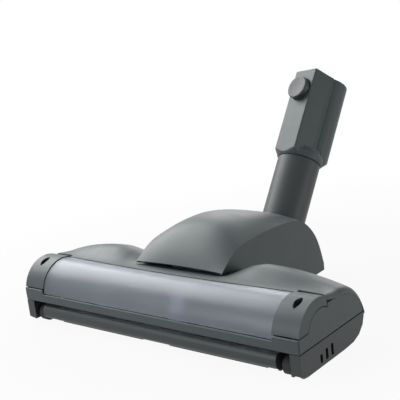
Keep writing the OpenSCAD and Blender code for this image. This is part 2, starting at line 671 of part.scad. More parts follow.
// Connector: the oval wand socket with its round collar and the pocket of the button.
module connector() {
  color(plastic) place() on_connector() difference() {
    union() {
      translate([0, 0, collar_s]) cylinder(h = 13, r = 21.8, $fn = 96);
      intersection() {
        translate([0, 0, collar_s + 6])
          linear_extrude(height = connector_top - collar_s - 6) connector_outline(0);
        rotate_extrude($fn = 96) polygon([[0, collar_s], [21.4, collar_s], [30, collar_s + 13],
          [30, connector_top + 5],
          [0, connector_top + 5]]);
      }
    }
    translate([0, 0, collar_s - 1]) cylinder(h = 11.8, r = spigot_r + run_fit, $fn = 96);
    translate([0, 0, collar_s + 0.9]) cylinder(h = 2.2, r = spigot_r + 1.2, $fn = 96);
    translate([0, 0, collar_s + 5.3]) cylinder(h = 1.8, r = spigot_r + 1.4, $fn = 96);
    cylinder(h = connector_top, r = connector_bore_r, $fn = 96);
    translate([0, 0, connector_top - socket_depth]) linear_extrude(height = 60) socket_outline(socket_wall);
    translate([0, 0, connector_top - button_drop]) rotate([90, 0, 0]) translate([0, 0, pocket_floor])
      cylinder(h = 12, r = button_r + 0.1, $fn = 72);
    both_sides() translate([rib_x - 0.7, rib_y - 9, collar_s + 16]) cube([3, 1.4, 80]);
    translate([0, rib_y + rib_r - 5, connector_top]) rotate([-45, 0, 0]) translate([-30, -10, 0])
      cube([60, 30, 20]);
  }
}

// Snap ring that holds the connector on the spigot.
module retaining_ring() {
  color(steel) place() on_connector() translate([0, 0, collar_s + 5.4]) difference() {
    cylinder(h = 1.6, r = spigot_r + 1.3, $fn = 96);
    translate([0, 0, -1]) cylinder(h = 4, r = spigot_r - 0.9, $fn = 96);
    translate([0, 20, 0]) cube([5, 20, 8], center = true);
  }
}

// Soft seal at the bottom of the wand socket.
module socket_seal() {
  color(rubber) place() on_connector() translate([0, 0, connector_top - socket_depth]) difference() {
    linear_extrude(height = 1.6) socket_outline(socket_wall + 0.3);
    translate([0, 0, -1]) cylinder(h = 4, r = connector_bore_r - 1, $fn = 72);
  }
}

// The frame of the button: z runs out of the connector's front.
module on_button() {
  on_connector() translate([0, 0, connector_top - button_drop]) rotate([90, 0, 0]) children();
}

// Round release button on the front of the connector.
module release_button() {
  color(plastic_dark) place() on_button() difference() {
    translate([0, 0, 20.2]) rotate_extrude($fn = 72)
      polygon([[0, 0], [button_r, 0], [button_r, 6.8], [button_r - 1, 7.8], [0, 7.8]]);
    translate([0, 0, 20]) cylinder(h = 4.6, r = 6, $fn = 48);
  }
}

// Spring under the button, drawn as closed coils.
module button_spring() {
  color(steel) place() on_button() for (i = [0:6])
    translate([0, 0, pocket_floor + 0.62 + 1.26 * i]) rotate_extrude($fn = 48) translate([4.4, 0])
      circle(r = 0.6, $fn = 16);
}

upper_housing();
hump_cover();
lower_housing();
sole_plate();
turbine_housing();
turbine_bearings();
air_duct();
belt_cover();
drive_belt();
brush_bushes();
front_axles();
rear_axles();
screws();
lint_strips();
window();
end_cap_left();
end_cap_right();
brush_core();
bristle_tufts();
brush_pulley();
turbine_rotor();
turbine_shaft();
pinion();
front_wheel_left();
front_wheel_right();
rear_wheel_left();
rear_wheel_right();
elbow();
neck_seal();
connector();
retaining_ring();
socket_seal();
release_button();
button_spring();
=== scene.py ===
import json
import math

import bmesh
import bpy
import numpy as np
from mathutils import Matrix, Vector


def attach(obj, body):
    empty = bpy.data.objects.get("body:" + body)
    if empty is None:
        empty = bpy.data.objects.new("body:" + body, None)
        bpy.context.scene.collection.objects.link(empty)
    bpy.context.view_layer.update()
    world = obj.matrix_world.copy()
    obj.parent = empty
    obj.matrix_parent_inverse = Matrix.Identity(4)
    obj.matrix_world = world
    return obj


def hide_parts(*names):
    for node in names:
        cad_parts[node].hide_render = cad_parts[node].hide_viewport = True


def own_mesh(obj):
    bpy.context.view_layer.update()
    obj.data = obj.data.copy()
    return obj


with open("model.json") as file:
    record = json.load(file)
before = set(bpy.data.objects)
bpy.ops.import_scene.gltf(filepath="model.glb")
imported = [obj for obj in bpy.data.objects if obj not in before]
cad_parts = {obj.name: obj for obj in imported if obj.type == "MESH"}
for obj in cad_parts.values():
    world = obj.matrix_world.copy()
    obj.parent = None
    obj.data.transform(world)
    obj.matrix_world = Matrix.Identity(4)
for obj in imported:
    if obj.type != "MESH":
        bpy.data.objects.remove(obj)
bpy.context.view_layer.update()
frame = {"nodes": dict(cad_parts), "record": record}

# Places are in mm, as in the part's source: x across the head, y back from its front ridge, z up from the
# floor. Y_SHIFT takes y to the frame's origin.
MM = 0.001
Y_SHIFT = -149.4

PARTING_Z, SEAM, WALL = 19.4, 0.3, 2.2     # where the upper and lower mouldings meet, and their wall
SKIRT_LOW = 3.3                            # lower edge of the rear of the housing
DECK_GAP = 0.4                             # between the deck and the window

WINDOW_HALF, WINDOW_Y, WINDOW_Z, WINDOW_R, WINDOW_T = 117.3, 27.0, 25.3, 25.4, 2.2
BRUSH_Y, BRUSH_Z, CORE_R, TIP_R = 29.0, 21.5, 11.0, 20.5

DECK_HALF, END_ROUND = 139.8, 4.0
CREST_Y, CREST_FALL = 58, 30               # line of the crest, and how far behind it the deck comes down
BOW_Y, BOW_DEPTH, BOW_HALF = 36, 6.6, 117.5
CAP_REAR_Y = 39.7                          # front edge of the deck behind the end caps
OPENING_Y, OPENING_HALF = 53.2, 45         # where the hump stands in the deck

HUMP_FRONT, HUMP_REAR, HUMP_HALF, HUMP_POWER = 44, 194.6, 44.7, 2.5
CHEEK_IN, CHEEK_T = 21.7, 2.5              # plates on both sides of the neck's slot
TILT_Y, TILT_Z = 176.0, 24.0               # tilt axis of the neck

NECK, TURN = math.radians(53.5), math.radians(-13)
COLLAR_S, CONNECTOR_TOP, SOCKET_DEPTH, SOCKET_WALL = 86.4, 171.5, 52.0, 2.4
COLLAR_R, SWIVEL_R, SWIVEL_TOP, AIR_R = 21.3, 18.75, 97.2, 12.0
FRONT_HALF, RIB_X, RIB_Y, RIB_R = 13.2, 15.9, 11.0, 17.5
BUTTON_S, BUTTON_R, POCKET_Y = 151.0, 11.3, 15.6


# Curves of the head

def smooth_table(table):
    """Monotone cubic through the table's points: the slope at a point is the harmonic mean of the slopes on
    both sides, and nought where they differ in sign, so the curve never overshoots."""
    x, z = np.array(table, float).T
    step = np.diff(x)
    slope = np.diff(z) / step
    same = slope[:-1] * slope[1:] > 0
    total = np.where(same, slope[:-1] + slope[1:], 1.0)
    inner = np.where(same, 2 * slope[:-1] * slope[1:] / total, 0.0)
    m = np.concatenate([[slope[0]], inner, [slope[-1]]])

    def value(q):
        q = np.clip(np.asarray(q, float), x[0], x[-1])
        i = np.clip(np.searchsorted(x, q, side="right") - 1, 0, len(x) - 2)
        h = step[i]
        t = (q - x[i]) / h
        return ((2 * t**3 - 3 * t**2 + 1) * z[i] + (t**3 - 2 * t**2 + t) * h * m[i]
                + (3 * t**2 - 2 * t**3) * z[i + 1] + (t**3 - t**2) * h * m[i + 1])
    return value


def eased(table, low, high, spread):
    """A table made dense and then averaged with a bell-shaped weight, so that its points leave no kinks.
    Before the average the curve is carried on past both ends by its own mirror image, turned about the end
    point."""
    samples, reach = 1201, 110
    y = np.linspace(low, high, samples)
    z = smooth_table(table)(y)
    wide = np.concatenate([2 * z[0] - z[reach:0:-1], z, 2 * z[-1] - z[-2:-reach - 2:-1]])
    weight = np.exp(-0.5 * (np.arange(-reach, reach + 1) * (y[1] - y[0]) / spread)**2)
    soft = np.convolve(wide, weight / weight.sum(), "valid")
    return lambda q: np.interp(q, y, soft)


# Height of the deck's crest over the distance from the middle, and heights of the hump over y.
crest = smooth_table([[0, 46.5], [38, 46.5], [46, 48], [55, 51.5], [65, 55], [75, 56.6], [90, 56],
                      [105, 54.2], [120, 51.4], [130, 48.8], [140, 45.8]])
hump_edge = eased([[44, 51.2], [47, 53], [52, 56.6], [60, 61], [67, 63.6], [75, 65.2], [92, 65.6],
                   [117, 65.3], [132, 64.4], [144, 63], [156, 60.6], [164, 57.4], [170, 53.6],
                   [176, 48.4], [183, 40.4], [189, 30.6], [192.5, 20], [194.6, 10]],
                  HUMP_FRONT, HUMP_REAR, 3.6)
hump_top = eased([[44, 52.4], [47, 56.2], [52, 61.4], [60, 68], [67, 72.6], [75, 76.4], [84, 78.8],
                  [92, 79.6], [104, 79.6], [117, 77.6], [132, 73.8], [144, 70], [156, 65.8],
                  [164, 61.8], [170, 57.4], [176, 51.6], [183, 43], [189, 32.6], [192.5, 21.5],
                  [194.6, 11]], HUMP_FRONT, HUMP_REAR, 3.6)


def deck_soft(x):
    """The bow of the deck's front: a parabola that runs forward by its depth in the middle and is straight at
    the end caps."""
    return BOW_Y - BOW_DEPTH * (1 - np.minimum(1, np.abs(x) / BOW_HALF)**2)


def deck_front(x):
    """Front edge of the deck: its bow over the window, and a straight edge farther back at the end caps."""
    return np.where(np.abs(x) < WINDOW_HALF - DECK_GAP, deck_soft(x), CAP_REAR_Y)


# Making and finishing meshes

def make_mesh(name, points, faces):
    """An object at the origin, shaded smooth, whose points come in mm of the head and are kept in metres."""
    points = (np.asarray(points, float).reshape(-1, 3) + [0, Y_SHIFT, 0]) * MM
    mesh = bpy.data.meshes.new(name)
    mesh.from_pydata(points.tolist(), [], [tuple(int(i) for i in f) for f in faces])
    mesh.update()
    mesh.polygons.foreach_set("use_smooth", [True] * len(mesh.polygons))
    obj = bpy.data.objects.new(name, mesh)
    bpy.context.scene.collection.objects.link(obj)
    return obj


def grid_faces(rows, cols, keep=None, wrap=False):
    """Quads of a grid of rows by cols points, those that keep marks; wrap closes the columns into a ring."""
    r, c = np.meshgrid(np.arange(rows - 1), np.arange(cols if wrap else cols - 1), indexing="ij")
    n = (c + 1) % cols
    quads = np.stack([r * cols + c, r * cols + n, (r + 1) * cols + n, (r + 1) * cols + c], -1).reshape(-1, 4)
    return quads if keep is None else quads[keep.ravel()]


def add_modifier(obj, kind, **values):
    """Adds a modifier of that kind with those settings."""
    mod = obj.modifiers.new(kind.lower(), kind)
    for key, value in values.items():
        setattr(mod, key, value)


def outward(obj):
    """Merges doubles and turns all faces outward."""
    bm = bmesh.new()
    bm.from_mesh(obj.data)
    bmesh.ops.remove_doubles(bm, verts=bm.verts, dist=1e-6)
    bmesh.ops.recalc_face_normals(bm, faces=bm.faces)
    bm.to_mesh(obj.data)
    bm.free()
    return obj


def face_up(obj):
    """Turns an open sheet over where its highest face looks down, so that its wall grows inward."""
    if max(obj.data.polygons, key=lambda p: p.center.z).normal.z < 0:
        obj.data.flip_normals()
    return obj


def plug(name, near, far):
    """A closed solid between two equal rings of points: each ring is an end face, with quads between them."""
    n = len(near)
    ends = [tuple(range(n)), tuple(range(2 * n - 1, n - 1, -1))]
    return outward(make_mesh(name, np.concatenate([near, far]), ends + list(grid_faces(2, n, wrap=True))))


def plate(name, outline, x0, x1):
    """A plate: an outline of y and z points carried along x from x0 to x1."""
    near, far = (np.column_stack([np.full(len(outline), x), outline]) for x in (x0, x1))
    return plug(name, near, far)


def cut_away(obj, cutter):
    """Takes the cutter's volume out of the object, keeps the result as its mesh and removes the cutter."""
    add_modifier(obj, "BOOLEAN", operation="DIFFERENCE", object=cutter, solver="EXACT")
    deps = bpy.context.evaluated_depsgraph_get()
    mesh = bpy.data.meshes.new_from_object(obj.evaluated_get(deps))
    obj.modifiers.clear()
    obj.data = mesh
    bpy.data.objects.remove(cutter)


def round_edges(obj, width=0.5, segments=3, angle=38):
    """Rounds the edges that are sharper than the angle, and weights the normals by the faces' areas."""
    add_modifier(obj, "BEVEL", width=width * MM, segments=segments, limit_method="ANGLE",
                 angle_limit=math.radians(angle), use_clamp_overlap=True, harden_normals=False)
    add_modifier(obj, "WEIGHTED_NORMAL", keep_sharp=True, weight=80)
    return obj


# Materials

def node_material(name):
    """A material with its tree, its shader and the coordinates that its patterns read."""
    mat = bpy.data.materials.new(name)
    mat.use_nodes = True
    tree = mat.node_tree
    return mat, tree, tree.nodes["Principled BSDF"], tree.nodes.new("ShaderNodeTexCoord")


def noise(tree, coords, scale, detail=2.0):
    """Cloudy noise on the object's own coordinates, with scale features to the metre."""
    node = tree.nodes.new("ShaderNodeTexNoise")
    node.inputs["Scale"].default_value = scale
    node.inputs["Detail"].default_value = detail
    tree.links.new(coords.outputs["Object"], node.inputs["Vector"])
    return node.outputs["Fac"]


def ramp(tree, source, low, high):
    """A colour that goes from low to high over the middle third of the source's range."""
    node = tree.nodes.new("ShaderNodeValToRGB")
    for element, place, color in zip(node.color_ramp.elements, (0.35, 0.65), (low, high)):
        element.position = place
        element.color = (*color, 1)
    tree.links.new(source, node.inputs["Fac"])
    return node.outputs["Color"]


def map_range(tree, value, low, high, start=0.0, end=1.0):
    """The value taken over in a straight line from the range start to end into low to high."""
    node = tree.nodes.new("ShaderNodeMapRange")
    node.inputs["From Min"].default_value, node.inputs["From Max"].default_value = start, end
    node.inputs["To Min"].default_value, node.inputs["To Max"].default_value = low, high
    tree.links.new(value, node.inputs["Value"])
    return node.outputs["Result"]


def math_node(tree, operation, *values):
    """One step of arithmetic on sockets and plain numbers, in the order of the node's inputs."""
    node = tree.nodes.new("ShaderNodeMath")
    node.operation = operation
    for socket, value in zip(node.inputs, values):
        if isinstance(value, float):
            socket.default_value = value
        else:
            tree.links.new(value, socket)
    return node.outputs[0]


def bump(tree, height, strength, distance):
    """A bump of that height pattern, whose distance is in metres."""
    node = tree.nodes.new("ShaderNodeBump")
    node.inputs["Strength"].default_value = strength
    node.inputs["Distance"].default_value = distance
    tree.links.new(height, node.inputs["Height"])
    return node


def moulded(name, color, spread=0.07, rough=(0.42, 0.50), grain=0.10, edge=0.35):
    """Moulded plastic: a faint cloudy change of colour, a fine spark-eroded grain as bump, and edges that
    look rounded by edge mm."""
    mat, tree, shader, coords = node_material(name)
    low = tuple(c * (1 - spread) for c in color)
    high = tuple(c * (1 + spread) for c in color)
    tree.links.new(ramp(tree, noise(tree, coords, 28, 3), low, high), shader.inputs["Base Color"])
    tree.links.new(map_range(tree, noise(tree, coords, 160, 4), *rough), shader.inputs["Roughness"])
    skin = bump(tree, noise(tree, coords, 2600), grain, 0.0002)
    if edge:
        bevel = tree.nodes.new("ShaderNodeBevel")
        bevel.samples = 4
        bevel.inputs["Radius"].default_value = edge * MM
        tree.links.new(bevel.outputs["Normal"], skin.inputs["Normal"])
    tree.links.new(skin.outputs["Normal"], shader.inputs["Normal"])
    return mat


def turned_steel(name, color):
    """Turned steel: fine rings round X as bump over an even metal colour."""
    mat, tree, shader, coords = node_material(name)
    wave = tree.nodes.new("ShaderNodeTexWave")
    wave.inputs["Scale"].default_value = 900
    wave.inputs["Distortion"].default_value = 0.6
    tree.links.new(coords.outputs["Object"], wave.inputs["Vector"])
    tone = ramp(tree, noise(tree, coords, 300), tuple(c * 0.85 for c in color), color)
    tree.links.new(tone, shader.inputs["Base Color"])
    rings = bump(tree, wave.outputs["Fac"], 0.15, 0.0001)
    tree.links.new(rings.outputs["Normal"], shader.inputs["Normal"])
    shader.inputs["Metallic"].default_value = 1.0
    shader.inputs["Roughness"].default_value = 0.32
    return mat


def clear_plastic(name, color):
    """Clear tinted plastic with faint flow marks of the moulding in its colour and its gloss."""
    mat, tree, shader, coords = node_material(name)
    flow = noise(tree, coords, 45)
    tree.links.new(ramp(tree, flow, tuple(c * 0.96 for c in color), color), shader.inputs["Base Color"])
    tree.links.new(map_range(tree, flow, 0.31, 0.38), shader.inputs["Roughness"])
    shader.inputs["Transmission Weight"].default_value = 0.80
    shader.inputs["IOR"].default_value = 1.46
    shader.inputs["Specular IOR Level"].default_value = 0.38
    return mat


SLOT_MATERIAL = {
    "housing_plastic": moulded("satin_slate_plastic", (0.058, 0.078, 0.083)),
    "dark_plastic": moulded("satin_dark_plastic", (0.036, 0.045, 0.048)),
    "light_plastic": moulded("light_grey_plastic", (0.55, 0.56, 0.58)),
    "rubber": moulded("matt_black_rubber", (0.018, 0.018, 0.020), rough=(0.65, 0.8), grain=0.3, edge=0.5),
    "bristle": moulded("black_nylon_bristle", (0.016, 0.016, 0.018), spread=0.4, rough=(0.35, 0.55), edge=0),
    "steel": turned_steel("turned_steel", (0.62, 0.63, 0.65)),
    "clear_window": clear_plastic("tinted_clear_plastic", (0.50, 0.55, 0.62)),
}


# CAD nodes that stay

def smoothing_group(angle):
    """Geometry nodes that merge the loose triangles and shade smooth all but the edges above the angle."""
    group = bpy.data.node_groups.new("smooth_below_angle", "GeometryNodeTree")
    group.interface.new_socket("Geometry", in_out="INPUT", socket_type="NodeSocketGeometry")
    group.interface.new_socket("Geometry", in_out="OUTPUT", socket_type="NodeSocketGeometry")
    start, end = group.nodes.new("NodeGroupInput"), group.nodes.new("NodeGroupOutput")
    merge = group.nodes.new("GeometryNodeMergeByDistance")
    merge.inputs["Distance"].default_value = 2e-6
    soft = group.nodes.new("GeometryNodeSetShadeSmooth")
    hard = group.nodes.new("GeometryNodeSetShadeSmooth")
    hard.domain = "EDGE"
    hard.inputs["Shade Smooth"].default_value = False
    bend = group.nodes.new("GeometryNodeInputMeshEdgeAngle")
    over = group.nodes.new("FunctionNodeCompare")
    over.data_type, over.operation = "FLOAT", "GREATER_THAN"
    over.inputs[1].default_value = math.radians(angle)
    link = group.links.new
    link(start.outputs[0], merge.inputs["Geometry"])
    link(merge.outputs["Geometry"], soft.inputs["Geometry"])
    link(soft.outputs["Geometry"], hard.inputs["Geometry"])
    link(bend.outputs["Unsigned Angle"], over.inputs[0])
    link(over.outputs["Result"], hard.inputs["Selection"])
    link(hard.outputs["Geometry"], end.inputs[0])
    return group


SMOOTHING = smoothing_group(30)
slot_of = {s["node"]: s["material_slot"] for s in frame["record"]["subparts"]}
for node_name, obj in frame["nodes"].items():
    obj.data.materials.clear()
    obj.data.materials.append(SLOT_MATERIAL[slot_of[node_name]])
    add_modifier(obj, "NODES", node_group=SMOOTHING)
    add_modifier(obj, "WEIGHTED_NORMAL", keep_sharp=True, weight=80)


def finish_piece(obj, body, slot, *nodes):
    """Gives a new piece its finish and its body, and hides the CAD nodes that it stands for."""
    obj.data.materials.clear()
    obj.data.materials.append(SLOT_MATERIAL[slot])
    obj.data.polygons.foreach_set("material_index", [0] * len(obj.data.polygons))
    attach(obj, body)
    if nodes:
        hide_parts(*nodes)
    return obj


# Hump with the neck's cheeks and the rear skirts

def slot_cutter():
    """The neck's slot: straight from behind and half round in front, carried up past the top of the hump."""
    a = np.linspace(0, math.pi, 49)
    middle = TILT_Y - 7.6 + CHEEK_IN
    front = np.stack([CHEEK_IN * np.cos(a), middle - CHEEK_IN * np.sin(a)], -1)
    outline = np.concatenate([[(CHEEK_IN, 212)], front, [(-CHEEK_IN, 212)]])
    near, far = (np.column_stack([outline, np.full(len(outline), z)]) for z in (1.0, 95.0))
    return plug("slot_cutter", near, far)


def hump_shell():
    """The hump moulding. At each y the section runs over u from -1 to 1 as the top less a power of u times
    the drop to the side edge, with straight side walls below it down to the lower edge. That edge lies on the
    deck in front, on the parting line behind it, and near the floor at the rear."""
    on_deck, on_parting = 53.4, 88.5
    steps = [y + d for y in (on_deck, on_parting) for d in (-0.01, 0.01)]
    y = np.unique(np.concatenate([np.linspace(HUMP_FRONT, 60, 22), np.linspace(60, 164, 56),
                                  np.linspace(164, HUMP_REAR, 44), steps]))
    u = np.linspace(-1, 1, 49)
    w = HUMP_HALF - 0.04 * (y - 47)
    low = np.where(y < on_deck, 50.2, np.where(y < on_parting, PARTING_Z + SEAM, SKIRT_LOW))
    top, edge = hump_top(y), hump_edge(y)
    z = np.maximum(top[:, None] - (top - edge)[:, None] * np.abs(u)**HUMP_POWER, low[:, None] + 0.4)
    over = np.stack([u * w[:, None], np.repeat(y[:, None], len(u), 1), z], -1)
    left = np.stack([np.repeat(-w[:, None], 2, 1), np.repeat(y[:, None], 2, 1),
                     low[:, None] + (z[:, :1] - low[:, None]) * np.array([0.0, 0.5])], -1)
    points = np.concatenate([left, over, left[:, ::-1] * [-1, 1, 1]], 1)
    shell = face_up(outward(make_mesh("hump_shell", points, grid_faces(*points.shape[:2]))))
    add_modifier(shell, "SOLIDIFY", thickness=WALL * MM, offset=-1, use_even_offset=False)
    cut_away(shell, slot_cutter())
    return round_edges(shell, 0.9, 3, 40)


finish_piece(hump_shell(), "housing", "housing_plastic", "hump_cover")

cheek_profile = [(150, SKIRT_LOW), (150, 62), (156, 59), (164, 55.8), (170, 52), (176, 46.8), (183, 38.8),
                 (189, 29), (192.3, 18.6), (193.6, 10), (193.6, SKIRT_LOW)]
skirt_profile = [(190.6, SKIRT_LOW), (190.6, 12.4), (193.4, 12.4), (194.2, 9.6), (194.3, SKIRT_LOW)]
for side, name in ((1, "right"), (-1, "left")):
    lo, hi = sorted((side * (CHEEK_IN - 0.1), side * (CHEEK_IN + CHEEK_T)))
    cheek = plate("neck_cheek_" + name, cheek_profile, lo, hi)
    finish_piece(round_edges(cheek, 0.3, 2), "housing", "housing_plastic")
    lo, hi = sorted((side * (CHEEK_IN + 1.2), side * 38.0))
    skirt = plate("rear_skirt_" + name, skirt_profile, lo, hi)
    finish_piece(round_edges(skirt, 0.4, 2), "housing", "housing_plastic")


# Deck with the side frames and the lip band

def deck_shell():
    """The deck. Forward of the crest line its height eases from the window's round to the crest by three t
    squared less two t cubed, and behind it a quarter ellipse falls to the parting line. Near both ends it
    drops by a quarter round."""
    ends = DECK_HALF - 4.3 * (1 - np.sin(np.linspace(0.1, math.pi / 2, 10)))
    half = np.concatenate([np.linspace(0, OPENING_HALF, 16), np.linspace(OPENING_HALF, 116.8, 40)[1:],
                           [117.0], np.linspace(118.5, 135.5, 12), ends])
    x = np.unique(np.round(np.concatenate([-half, half]), 4))
    front = deck_front(x)[:, None]
    soft = deck_soft(x)[:, None]
    front_z = WINDOW_Z + np.sqrt((WINDOW_R + DECK_GAP)**2 - (soft - WINDOW_Y)**2)
    peak = crest(np.abs(x))[:, None]
    y = np.concatenate([front + (OPENING_Y - front) * np.linspace(0, 1, 16),
                        OPENING_Y + (CREST_Y - OPENING_Y) * np.linspace(0, 1, 5)[1:] + 0 * front], 1)
    t = (y - soft) / (CREST_Y - soft)
    z = front_z + (peak - front_z) * t * t * (3 - 2 * t)
    a = np.linspace(0, math.pi / 2, 26)[1:]
    base = PARTING_Z + SEAM
    y = np.concatenate([y, CREST_Y + CREST_FALL * np.sin(a) + 0 * front], 1)
    z = np.concatenate([z, base + (peak - base) * np.cos(a)], 1)
    over = np.clip(np.abs(x) - (DECK_HALF - END_ROUND), 0, END_ROUND)[:, None]
    drop = END_ROUND - np.sqrt(np.maximum(END_ROUND**2 - over**2, 0))
    z = np.maximum(z - drop, base - 0.001)
    y = np.where(y > CREST_Y, y - drop * (y - CREST_Y) / CREST_FALL * (z - base) / (peak - base), y)
    points = np.stack([np.repeat(x[:, None], y.shape[1], 1), y, z], -1)
    mid_x = (x[:-1] + x[1:])[:, None] / 2
    before_opening = np.arange(y.shape[1] - 1)[None, :] < 15
    keep = (np.abs(mid_x) > OPENING_HALF) | before_opening
    shell = face_up(outward(make_mesh("deck_shell", points, grid_faces(*y.shape, keep=keep))))
    add_modifier(shell, "SOLIDIFY", thickness=WALL * MM, offset=-1)
    return round_edges(shell, 0.5, 2, 40)


def lip_band():
    """The band under the window, one plate over the full width: its upper edge lies on the window's lower
    edge and steps up by 3.6 mm at both end caps."""
    left = [(-139.7, 19.7), (-139.7, 30.5), (-117.9, 30.5), (-117.3, 26.9)]
    x, z = np.array(left + [(-x, z) for x, z in reversed(left)]).T
    near, far = (np.column_stack([x, np.full(len(x), y), z]) for y in (0.2, 2.4))
    return round_edges(plug("lip_band", near, far), 0.9, 3)


finish_piece(deck_shell(), "housing", "housing_plastic", "upper_housing")

# The side frame's outline: up in front, over the arch that the end cap lies in, and down the deck's rear.
arch_y, arch_r = 30, 17.6
arch_angles = np.radians(np.linspace(162.5, 58, 25))
side_frame = [(0.3, 19.7), (0.3, 30.6)]
side_frame += [(arch_y + arch_r * math.cos(a), WINDOW_Z + arch_r * math.sin(a)) for a in arch_angles]
side_frame += [(39.9, 41), (39.9, 43.5), (48, 43.3), (57, 42.4), (66, 41), (74, 38), (80, 33.5), (84, 28),
               (86, 23), (86.6, 19.7)]
for side, name in ((1, "right"), (-1, "left")):
    lo, hi = sorted((side * 137.6, side * 139.7))
    panel = plate("side_frame_" + name, side_frame, lo, hi)
    finish_piece(round_edges(panel, 0.8, 3), "housing", "housing_plastic")

finish_piece(lip_band(), "housing", "housing_plastic")


# Window

def window_pane():
    """The window: a sheet on the round of the brush chamber, from the lip band up to the bowed front edge of
    the deck less its gap."""
    columns, rows = 97, 41
    x = np.linspace(-WINDOW_HALF, WINDOW_HALF, columns)
    at_lip = math.radians(175.5)
    at_deck = np.arccos((deck_soft(x) - DECK_GAP - WINDOW_Y) / WINDOW_R)[:, None]
    a = at_lip + (at_deck - at_lip) * np.linspace(0, 1, rows)
    points = np.stack([np.repeat(x[:, None], rows, 1), WINDOW_Y + WINDOW_R * np.cos(a),
                       WINDOW_Z + WINDOW_R * np.sin(a)], -1)
    pane = face_up(make_mesh("window_pane", points, grid_faces(columns, rows)))
    add_modifier(pane, "SOLIDIFY", thickness=WINDOW_T * MM, offset=-1)
    return round_edges(pane, 0.35, 3, 50)


finish_piece(window_pane(), "window_cover", "clear_window", "window")


# Connector with its button

def on_connector(p):
    """Connector places (across, to the rear, up the neck) in mm of the head: turned about the neck, then
    leaned back so that up the neck stands 53.5 degrees above the floor, from the tilt axis."""
    p = np.asarray(p, float)
    x = p[..., 0] * math.cos(TURN) - p[..., 1] * math.sin(TURN)
    y = p[..., 0] * math.sin(TURN) + p[..., 1] * math.cos(TURN)
    s = p[..., 2]
    return np.stack([x, TILT_Y + s * math.cos(NECK) + y * math.sin(NECK),
                     TILT_Z + s * math.sin(NECK) - y * math.cos(NECK)], -1)


def half_outline(d, groove):
    """Right half of the connector's outline from front to rear, moved in by d: a flat front with a small
    corner round, a side that leans out, a shallow groove, and the round of the rib."""
    corner_r = 1.4
    corner = np.array([FRONT_HALF - 0.7 * d, -22 + d])
    end = np.array([RIB_X - d, RIB_Y - 8])
    lean = (end - corner) / np.linalg.norm(end - corner)
    turn = math.acos(lean[0])
    reach = corner_r * math.tan(turn / 2)
    a = np.linspace(-math.pi / 2, turn - math.pi / 2, 7)
    bend = corner + [-reach, corner_r] + corner_r * np.stack([np.cos(a), np.sin(a)], -1)
    front = np.stack([np.linspace(0, corner[0] - reach, 12)[:-1], np.full(11, corner[1])], -1)
    flank = bend[-1] + (end - bend[-1]) * np.linspace(0, 1, 16)[1:-1, None]
    b = np.linspace(math.asin((RIB_X - d) / (RIB_R - d)), math.pi, 40)
    rib = np.stack([(RIB_R - d) * np.sin(b), RIB_Y - (RIB_R - d) * np.cos(b)], -1)
    dent = np.array([[0, -2.6], [-0.5, -2.3], [-0.8, -1.6], [-0.8, -0.6], [-0.5, 0.1], [0, 0.4]])
    return np.concatenate([front, bend, flank[flank[:, 1] < end[1] - 3.2], end + dent * [groove, 1], rib])


def ring_of(half):
    """A whole ring from its right half: the half, then its mirror image back to the front."""
    return np.concatenate([half, half[-2:0:-1] * [-1, 1]])


def pocket_cutter():
    """The button's pocket: a round plug from the pocket's floor out past the connector's front."""
    a = np.linspace(0, 2 * math.pi, 96, endpoint=False)
    r = BUTTON_R + 0.15
    disc = np.stack([r * np.cos(a), 0 * a, BUTTON_S + r * np.sin(a)], -1)
    return plug("pocket_cutter", on_connector(disc + [0, -POCKET_Y, 0]), on_connector(disc + [0, -32, 0]))


def connector_shell():
    """The connector, one closed skin of rings: up the outside from the round collar, which melts into the
    outline, over the rounded top, down the socket with its flat front, through the air bore and back. Towards
    the rear the top falls by 1.52 times a quarter round."""
    outer = ring_of(half_outline(0, 1.0))
    inner = ring_of(half_outline(SOCKET_WALL, 0.0))
    inner[:, 1] = np.maximum(inner[:, 1], -POCKET_Y + 2.7)
    reach = np.linalg.norm(outer, axis=1)
    way = outer / reach[:, None]
    rows = [(way * SWIVEL_R, SWIVEL_TOP), (way * SWIVEL_R, COLLAR_S + 0.6), (way * 19.3, COLLAR_S),
            (way * 20.6, COLLAR_S), (way * COLLAR_R, COLLAR_S + 0.7)]
    levels = [np.linspace(88.2, 91.5, 4), np.linspace(92, 99, 15), np.linspace(101, 168.8, 22)]
    for s in np.concatenate(levels):
        cone = COLLAR_R + (s - 87.1) * 0.85
        fall = np.clip((s - 91.5) / 4.5, 0, 1)
        collar = 21.5 - 7.5 * (1 - math.sqrt(1 - fall * fall)) if fall < 1 else 0.0
        rows.append((way * np.maximum(np.minimum(reach, cone), collar)[:, None], s))
    rim_r = 1.3
    for a in np.linspace(0, math.pi / 2, 6):
        rows.append((outer - way * rim_r * (1 - math.cos(a)), CONNECTOR_TOP - rim_r * (1 - math.sin(a))))
    bottom = CONNECTOR_TOP - SOCKET_DEPTH
    rows += [(inner + (outer - inner) * 0.12, CONNECTOR_TOP), (inner, CONNECTOR_TOP - 0.5)]
    rows += [(inner, s) for s in np.linspace(CONNECTOR_TOP - 6, bottom, 10)]
    rows += [(way * AIR_R, bottom), (way * AIR_R, SWIVEL_TOP)]

    rings = np.array([ring for ring, _ in rows])
    s = np.array([level for _, level in rows])[:, None]
    back_r = 7.2
    back = np.clip(rings[..., 1] - 21.5, 0, 7.0)
    drop = 1.52 * (back_r - np.sqrt(back_r**2 - back * back))
    level = np.where(s > 140, np.minimum(s, CONNECTOR_TOP - drop), s)
    n, m = level.shape
    faces = grid_faces(n + 1, m, wrap=True) % (n * m)
    points = on_connector(np.concatenate([rings, level[..., None]], -1))
    shell = outward(make_mesh("connector_shell", points, faces))
    cut_away(shell, pocket_cutter())
    add_modifier(shell, "NODES", node_group=SMOOTHING)
    add_modifier(shell, "WEIGHTED_NORMAL", keep_sharp=True, weight=60)
    return shell


